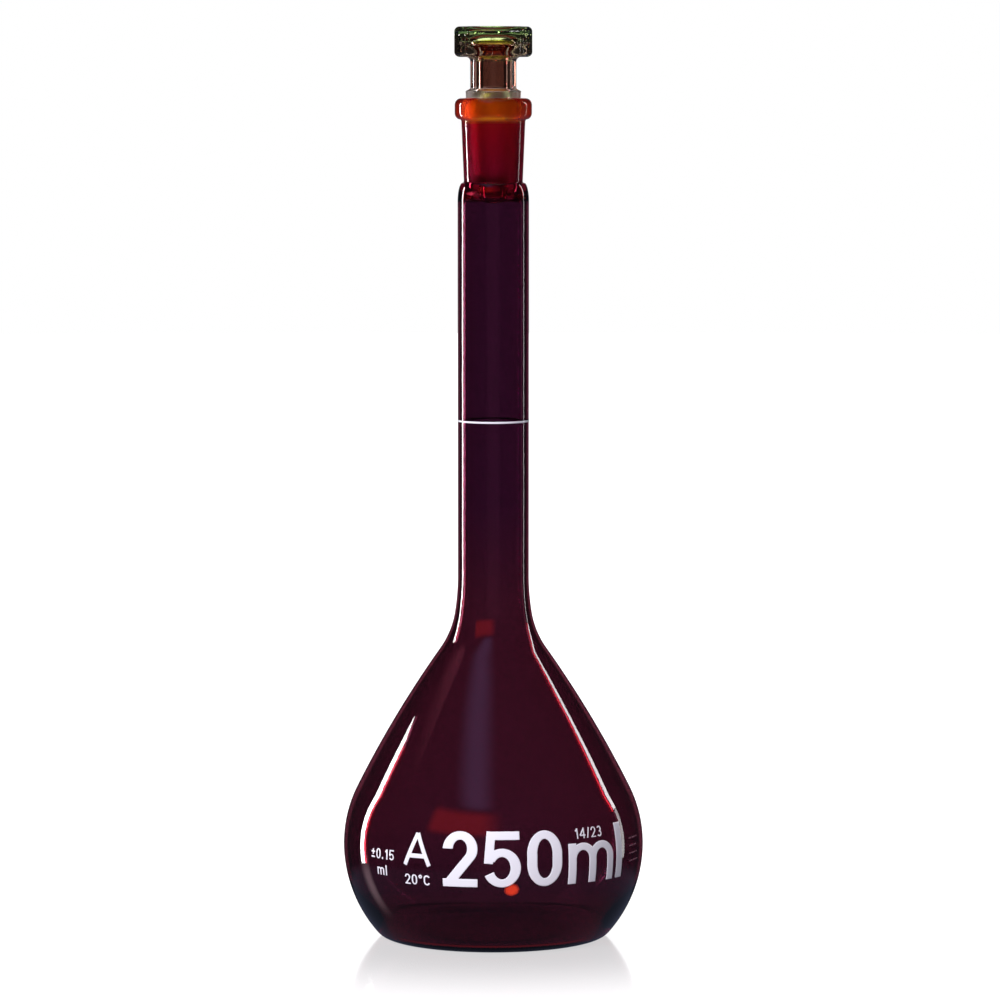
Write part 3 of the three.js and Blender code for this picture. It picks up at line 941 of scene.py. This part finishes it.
def flask_tint(colours):
    """Tint of the flask: dark bulb and neck, red socket, and a rim orange inside. The red and
    orange are the stain lightened by a painted glow of light scattered through the ground joint,
    and the bore's low end has a painted red glow.

    Skin and bore have a ramp each, which runs with height over the rim's height.
    """
    def tint_of(n, place, ground):
        height = n.part(place, "Z")
        skin_radius, bore_radius = 7.70 * MM, 7.45 * MM
        narrow = n.remap(radius_of(n, place), skin_radius, bore_radius)
        high = n.maths("GREATER_THAN", height, SHOULDER_FOOT_Z - 4 * MM)
        inside = n.maths("MULTIPLY", narrow, high)
        level = n.maths("DIVIDE", height, RIM_Z)
        wander, fade = 0.006, 0.003
        drift = n.maths("MULTIPLY_ADD", n.noise(place, 38.0, 3.0), wander, level)
        shoulder = SHOULDER_FOOT_Z / RIM_Z + wander / 2
        bead = 1 - 5.9 * MM / RIM_Z + wander / 2
        # The socket and bead stops carry the painted glow of light scattered through the ground
        # joint.
        socket = [(shoulder + 0.026, colours.socket_foot), (bead - fade, colours.socket)]
        skin = n.ramp(drift, [
            # bulb_foot makes the skin darker towards the base.
            (0.0, colours.bulb_foot), (0.06, colours.bulb_foot), (0.12, colours.bulb),
            (0.40, colours.bulb), (0.52, colours.neck), (shoulder + 0.018, colours.neck),
            *socket, (bead + fade, colours.bead), (1.0, colours.bead),
        ])
        # The bore ramp begins with bore_end, a painted red glow round the stopper's tip.
        bore = n.ramp(drift, [
            (0.0, colours.bore_end), (shoulder + 0.018, colours.bore_end),
            *socket, (bead + fade, colours.bead_bore), (1.0, colours.bead_bore),
        ])
        return n.mixed(inside, skin, bore)
    return tint_of


def stopper_tint(colours):
    """Tint of the stopper: smoky head stained amber inside, paler where it is ground, with painted
    refracted light: red-brown from the red socket at the foot of the hollow, green at the top of
    the head and of the hollow.

    Skin and hollow have a ramp each, which runs with height from the rim to the head's top.
    """
    def tint_of(n, place, ground):
        height = n.part(place, "Z")
        reach, middle_z, half_height = 6.6 * MM, HEAD_TOP_Z - 4.7 * MM, 3.2 * MM
        near = n.maths("LESS_THAN", radius_of(n, place), reach)
        head = n.maths("COMPARE", height, middle_z, half_height)
        inside = n.maths("MULTIPLY", near, head)
        level = n.remap(height, RIM_Z, HEAD_TOP_Z)
        drift = n.maths("MULTIPLY_ADD", n.noise(place, 90.0, 2.0), 0.10, level)
        skin = n.ramp(drift, [
            (0.0, colours.stopper_cone), (0.17, colours.stopper_cone),
            (0.20, colours.stopper_stem), (0.58, colours.stopper_stem),
            # stopper_top at the head's top is painted green refracted light.
            (0.68, colours.stopper), (0.86, colours.stopper), (0.96, colours.stopper_top),
        ])
        # In the hollow ramp, hollow_foot and hollow_top are painted refracted light: red-brown
        # from the socket, green at the top.
        hollow = n.ramp(drift, [
            (0.0, colours.hollow_foot), (0.70, colours.hollow_foot), (0.76, colours.hollow),
            (0.89, colours.hollow), (0.94, colours.hollow_top), (1.0, colours.hollow_top),
        ])
        return n.mixed(ground, n.mixed(inside, skin, hollow), opaque(colours.frosted))
    return tint_of


def enamel_material(name, colour):
    """Fired enamel: slightly uneven cover and the fine tooth of a screen print."""
    material, n, place = new_material(name)
    cover = n.noise(place, 420.0, 4.0)
    paint = n.ramp(cover, [(0.25, [c * 0.90 for c in colour]), (0.6, colour)])
    relief = n.add("Bump", Strength=0.25, Distance=0.03 * MM, Height=n.noise(place, 5200.0, 1.0))
    shader = n.add("BsdfPrincipled", Base_Color=paint, Normal=relief,
                   Roughness=n.remap(cover, 0.0, 1.0, 0.34, 0.5))
    n.add("OutputMaterial", Surface=shader)
    return material


def bench_material():
    """Pale polished bench: grey paint under its own even glow, with painted shade: the glow is
    dimmer round the flask's foot.
    """
    material, n, place = new_material("pale_bench")
    paint = n.ramp(n.noise(place, 3.0, 2.0), [(0.3, [0.13] * 3), (0.7, [0.15] * 3)])
    away = n.add("VectorMath", {"operation": "LENGTH"}, "Value", i0=place)
    # Painted shade: the glow is 0.60 near the flask's foot and rises to 0.98 further out.
    foot_shade = n.remap(away, 34 * MM, 112 * MM, 0.60, 0.98, "SMOOTHSTEP")
    shader = n.add("BsdfPrincipled", Base_Color=paint, Roughness=0.11, IOR=1.5,
                   Emission_Color=(1.0, 0.99, 1.0, 1.0), Emission_Strength=foot_shade)
    n.add("OutputMaterial", Surface=shader)
    return material


# ---- Studio ----


# Each row is a light: name, position, height of the point on the axis it is aimed at, width,
# height, the setting that holds its power, its share of that power, tint, and the kinds of ray
# it is hidden from.
LIGHTS = (
    ("left_strip", (-0.79, 0.43, 0.15), 0.15, 0.085, 0.65, "left_strip", 1.0, WHITE, ()),
    ("left_gel", (-0.820, 0.370, 0.15), 0.15, 0.028, 0.65, "gel", 1.0, RED, ("diffuse",)),
    ("right_gel", (0.847, 0.352, 0.53), 0.53, 0.028, 0.56, "gel", 1.0, RED, ("diffuse",)),
    ("right_strip", (0.82, 0.41, 0.53), 0.53, 0.06, 0.56, "right_strip", 1.0, WHITE, ()),
    ("right_foot", (0.82, 0.41, 0.05), 0.05, 0.06, 0.38, "right_strip", 0.25, WHITE, ()),
    ("key", (-0.50, -0.87, 0.60), 0.05, 0.5, 0.5, "key", 1.0, (0.92, 0.93, 1.0),
     ("glossy", "transmission")),
)
# Each row is a patch of the surround: the half it keeps to, then bands of the direction
# (x, y, z) away from the flask, as part, low, high and softness. "lamp" is the cosine of the
# angle to the small red lamp.
FAR = 1.5
LEVEL = ("z", -0.34, 0.34, 0.10)
LAMP = (0.2265, -0.8314, -0.5075)
PATCHES = {
    "low": (None, ("z", -FAR, -0.25, 0.04)),
    "card_high": ("back", ("z", 0.02, 0.50, 0.03), ("x", -0.09, 0.09, 0.03)),
    "card_low": ("back", ("z", -0.25, 0.02, 0.03), ("x", -0.03, 0.03, 0.01)),
    "ceiling": (None, ("z", 0.95, FAR, 0.03)),
    "sheen": ("front", ("z", 0.66, 0.91, 0.05), ("x/z", -0.54, -0.09, 0.19)),
    "warm": ("front", ("z", 0.30, 0.60, 0.06), ("x/y", 0.02, 1.35, 0.22)),
    "foot": ("back", ("z", -0.52, -0.20, 0.13), ("x/y", -2.3, -1.55, 0.30)),
    "ember": (None, ("lamp", 0.9968, FAR, 0.0022)),
    "behind": (None, LEVEL, ("y", 0.925, FAR, 0.035)),
    "before": (None, LEVEL, ("y", -FAR, -0.925, 0.035)),
    "sides": (None, LEVEL, ("|x|", 0.95, FAR, 0.03)),
    "bench": (None, ("z", -FAR, -0.23, 0.04)),
    "over": ("back", ("z", 0.60, FAR, 0.10), ("x", -FAR, 0.14, 0.12)),
    "under": (None, ("z", -FAR, -0.55, 0.08)),
}
# Brightness of the patches that have no setting of their own.
LOW_GLOW, CEILING_GLOW, FOOT_GLOW, SIDE_GLOW = 0.09, 0.6, 1.1, 0.12


def soft_light(name, position, aim_height, width, height, power, tint, hidden_from):
    """A rectangular softbox aimed at the axis, seen in reflections but not by the camera."""
    data = bpy.data.lights.new(name, "AREA")
    data.shape = "RECTANGLE"
    data.size, data.size_y = width, height
    data.energy = power
    data.color = tint
    light = in_scene(name, data, position)
    direction = Vector((0.0, 0.0, aim_height)) - Vector(position)
    light.rotation_euler = direction.to_track_quat("-Z", "Y").to_euler()
    hide_from(light, "camera", *hidden_from)


def studio_world(settings):
    """The surround, which each kind of ray sees in its own way, made of soft-edged patches.

    The camera sees white. Reflections see a bluish dark with a white card behind, a ceiling, a
    violet and a red softbox in front, a pink glow low behind and a small red lamp low in front.
    Light passing through the glass sees cards behind and before it, dimmer sides and bench, a
    bright warm patch overhead and red from below. Matt surfaces see an even dim room.
    """
    world = bpy.data.worlds.new("studio")
    bpy.context.scene.world = world
    n = Nodes(world)
    way = n.add("TexCoord", output="Generated")
    x, y, z = (n.part(way, axis) for axis in "XYZ")
    parts = {"x": x, "y": y, "z": z, "|x|": n.maths("ABSOLUTE", x),
             "x/y": n.maths("DIVIDE", x, y), "x/z": n.maths("DIVIDE", x, z),
             "lamp": n.add("VectorMath", {"operation": "DOT_PRODUCT"}, "Value", i0=way, i1=LAMP)}
    half = {"front": n.maths("LESS_THAN", y, 0.0), "back": n.maths("GREATER_THAN", y, 0.0)}

    def patch(name):
        side, *bands = PATCHES[name]
        edges = []
        for part, low, high, soft in bands:
            edges.append(n.remap(parts[part], low - soft, low + soft, 0.0, 1.0, "SMOOTHSTEP"))
            edges.append(n.remap(parts[part], high - soft, high + soft, 1.0, 0.0, "SMOOTHSTEP"))
        return n.chain("MULTIPLY", *edges, *([half[side]] if side else []))

    def glow(rgb, *factors):
        return n.add("Background", Color=opaque(rgb), Strength=n.chain("MULTIPLY", *factors))

    def together(first, *rest):
        for shader in rest:
            first = n.add("AddShader", i0=first, i1=shader)
        return first

    def seen_by(kind, shader, otherwise):
        rays = n.add("LightPath", output=f"Is {kind} Ray")
        return n.add("MixShader", Fac=rays, i1=otherwise, i2=shader)

    dark = n.maths("ADD", n.maths("MULTIPLY", patch("low"), LOW_GLOW), settings.surround)
    card = n.chain("ADD", patch("card_high"), patch("card_low"),
                   n.maths("MULTIPLY", patch("ceiling"), CEILING_GLOW))
    mirrored = together(glow((0.55, 0.62, 1.0), dark),
                        glow(WHITE, card),
                        glow((0.60, 0.42, 1.0), patch("sheen"), settings.sheen),
                        glow((1.0, 0.03, 0.01), patch("warm"), settings.warm),
                        glow((1.0, 0.66, 0.74), patch("foot"), FOOT_GLOW),
                        glow((1.0, 0.06, 0.012), patch("ember"), settings.ember))
    dim = n.maths("MULTIPLY", n.maths("MAXIMUM", patch("sides"), patch("bench")), SIDE_GLOW)
    clear = n.chain("MAXIMUM", patch("behind"), patch("before"), dim, settings.through)
    through = together(glow(WHITE, clear),
                       glow((1.0, 0.96, 0.80), patch("over"), settings.above),
                       glow((1.0, 0.05, 0.03), patch("under"), settings.below))
    seen = seen_by("Diffuse", glow((0.85, 0.86, 1.0), settings.room), mirrored)
    seen = seen_by("Transmission", through, seen)
    seen = seen_by("Camera", glow(WHITE, 1.0), seen)
    n.add("OutputWorld", Surface=seen)


def studio_floor():
    """A wide round bench top at the height the flask stands on."""
    radii = np.array([0.0, 0.05, 0.1, 0.2, 0.4, 0.8, 1.6, 3.0])
    outline = np.column_stack((radii, np.zeros(len(radii))))[::-1]
    vertices, faces = turned(outline, around(96))
    floor = new_piece("bench_top", vertices, faces, bench_material())
    hide_from(floor, "glossy", "transmission", "diffuse")


def studio_camera(settings):
    """A long lens, a little above the rim, tilted down on to the flask."""
    data = bpy.data.cameras.new("studio_camera")
    data.sensor_width = 36.0
    data.lens = settings.lens
    place = (settings.camera_side, -settings.camera_distance, settings.camera_height)
    camera = in_scene("studio_camera", data, place)
    camera.rotation_euler = (QUARTER - settings.camera_pitch, 0.0, 0.0)
    bpy.context.scene.camera = camera


# ---- Operators ----


def finished(piece, body, slot, *nodes):
    """Hands a piece to the frame: the body it rides and the nodes it replaces. Its finish, slot,
    is not used.
    """
    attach(piece, body)
    if nodes:
        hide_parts(*nodes)


def shared_enamel(shaded=False):
    """The white enamel or the enamel painted dim and reddish as shade, each made once."""
    name = "shaded_enamel" if shaded else "white_enamel"
    colours = bpy.context.scene.glass_colours
    found = bpy.data.materials.get(name)
    return found or enamel_material(name, colours.shaded_enamel if shaded else colours.enamel)


class FLASK_OT_studio(bpy.types.Operator):
    """Makes the camera, the lights, the white surround and the bench top"""

    bl_idname = "flask.studio"
    bl_label = "Studio"

    def execute(self, context):
        s = context.scene.studio_settings
        context.scene.view_settings.view_transform = "Standard"
        studio_camera(s)
        studio_world(s)
        studio_floor()
        for name, place, aim, wide, tall, setting, part, tint, hidden_from in LIGHTS:
            power = getattr(s, setting) * part
            soft_light(name, place, aim, wide, tall, power, tint, hidden_from)
        return {"FINISHED"}


class FLASK_OT_body(bpy.types.Operator):
    """Blows the flask: bulb, neck and ground socket as one piece of glass"""

    bl_idname = "flask.body"
    bl_label = "Flask body"

    def execute(self, context):
        c = context.scene.glass_colours
        material = glass_material("stained_glass", flask_tint(c), c.body, c.body_density,
                                  c.polish, c.frost)
        piece = build_flask(context.scene.flask_sizes, material)
        finished(piece, "flask", "flask_glass", "bulb", "neck_tube", "ground_socket")
        return {"FINISHED"}


class FLASK_OT_stopper(bpy.types.Operator):
    """Makes the hollow stopper with its eight-sided head"""

    bl_idname = "flask.stopper"
    bl_label = "Stopper"

    def execute(self, context):
        scene = context.scene
        c = scene.glass_colours
        material = glass_material("stopper_glass", stopper_tint(c), c.stopper_body,
                                  c.stopper_density, c.stopper_polish, c.stopper_frost)
        piece = build_stopper(scene.flask_sizes, scene.stopper_sizes, material)
        finished(piece, "stopper", "stopper_glass", "stopper")
        return {"FINISHED"}


class FLASK_OT_ring_mark(bpy.types.Operator):
    """Fires the calibration line on to the neck"""

    bl_idname = "flask.ring_mark"
    bl_label = "Ring mark"

    def execute(self, context):
        piece = build_ring_mark(context.scene.enamel_sizes, shared_enamel())
        finished(piece, "flask", "white_enamel", "ring_mark")
        return {"FINISHED"}


class FLASK_OT_capacity(bpy.types.Operator):
    """Fires the capacity figures on to the belly, each over its own node"""

    bl_idname = "flask.capacity"
    bl_label = "Capacity figures"

    def execute(self, context):
        e = context.scene.enamel_sizes
        tall = FIGURE_HIGH_Z - FIGURE_LOW_Z
        pen, wide = e.figure_stroke, e.figure_width
        light = pen * LIGHT
        # Node, strokes, pen width, and degrees round the belly from the front.
        figures = [
            ("figure_2", figure_two(wide * 0.94, tall, pen), pen, -12.6),
            ("figure_5", figure_five(wide, tall, pen), pen, 3.3),
            ("figure_0", figure_nought(wide * 0.98, tall, pen), pen, 19.8),
            ("letter_m", letter_m(e.small_width, e.small_height, light), light, 40.8),
            ("letter_l", letter_l(0, tall, pen), pen, 56.1),
        ]
        for node, strokes, pen, degrees in figures:
            placed = [(stroke, 0.0) for stroke in strokes]
            piece = printed(node + "_enamel", placed, pen, degrees, FIGURE_LOW_Z,
                            FIGURE_GRID, shared_enamel())
            finished(piece, "flask", "white_enamel", node)
        return {"FINISHED"}


class FLASK_OT_small_print(bpy.types.Operator):
    """Fires the plain small print: accuracy class, temperature, tolerance and taper size"""

    bl_idname = "flask.small_print"
    bl_label = "Small print"

    def execute(self, context):
        # Name, text, height, pen, degrees round, height of its foot, grid; lengths in mm.
        lines = [
            ("print_class", "A", 8.4, 1.15, -30.0, 24.0, 0.09),
            ("print_temperature", "20oC", 2.7, 0.42, -30.0, 18.9, 0.05),
            ("print_tolerance", "+0.15", 2.7, 0.42, -47.0, 24.6, 0.05),
            ("print_unit", "ml", 2.7, 0.42, -47.0, 20.4, 0.05),
            ("print_taper", "14/23", 2.7, 0.36, 39.5, 30.7, 0.05),
        ]
        for name, text, height, pen, degrees, base, pitch in lines:
            placed = typeset(text, height * MM, pen * MM)
            piece = printed(name, placed, pen * MM, degrees, base * MM, pitch * MM,
                            shared_enamel())
            finished(piece, "flask", "white_enamel")
        # Rows of dashes: height of the row, then the ends of each dash; all in mm.
        rows = [(6.0, (-3.4, -1.9), (-1.4, 0.9), (1.4, 2.4)), (4.0, (-3.4, -0.7), (-0.2, 1.4)),
                (2.0, (-3.4, -2.7), (-2.2, 0.6), (1.1, 2.0)), (0.0, (-3.4, -1.2), (-0.7, 2.8))]
        dashes = [(bar(a * MM, up * MM, b * MM, up * MM), 0.0)
                  for up, *spans in rows for a, b in spans]
        # The dashes use the enamel painted dim and reddish as shade where the belly turns away.
        piece = printed("print_dashes", dashes, 0.34 * MM, 69, 22.6 * MM, 0.06 * MM,
                        shared_enamel(shaded=True))
        finished(piece, "flask", "white_enamel")
        return {"FINISHED"}


class FLASK_PT_panel(bpy.types.Panel):
    """Lists the steps that build the flask"""

    bl_idname = "FLASK_PT_panel"
    bl_label = "Volumetric flask"
    bl_space_type = "VIEW_3D"
    bl_region_type = "UI"
    bl_category = "Flask"

    def draw(self, context):
        for operator in OPERATORS:
            self.layout.operator(operator.bl_idname)


OPERATORS = (FLASK_OT_studio, FLASK_OT_body, FLASK_OT_stopper, FLASK_OT_ring_mark,
             FLASK_OT_capacity, FLASK_OT_small_print)
GROUPS = {
    "flask_sizes": FlaskSizes,
    "stopper_sizes": StopperSizes,
    "enamel_sizes": EnamelSizes,
    "glass_colours": GlassColours,
    "studio_settings": StudioSettings,
}
CLASSES = (*GROUPS.values(), *OPERATORS, FLASK_PT_panel)


def register():
    """Registers the classes and hangs the settings on the scene."""
    for cls in CLASSES:
        bpy.utils.register_class(cls)
    for name, group in GROUPS.items():
        setattr(bpy.types.Scene, name, PointerProperty(type=group))


def unregister():
    """Takes the settings and the classes away again."""
    for name in GROUPS:
        delattr(bpy.types.Scene, name)
    for cls in reversed(CLASSES):
        bpy.utils.unregister_class(cls)


def main():
    register()
    bpy.ops.flask.studio()
    bpy.ops.flask.body()
    bpy.ops.flask.stopper()
    bpy.ops.flask.ring_mark()
    bpy.ops.flask.capacity()
    bpy.ops.flask.small_print()
    bpy.context.view_layer.update()


if __name__ == "__main__":
    main()
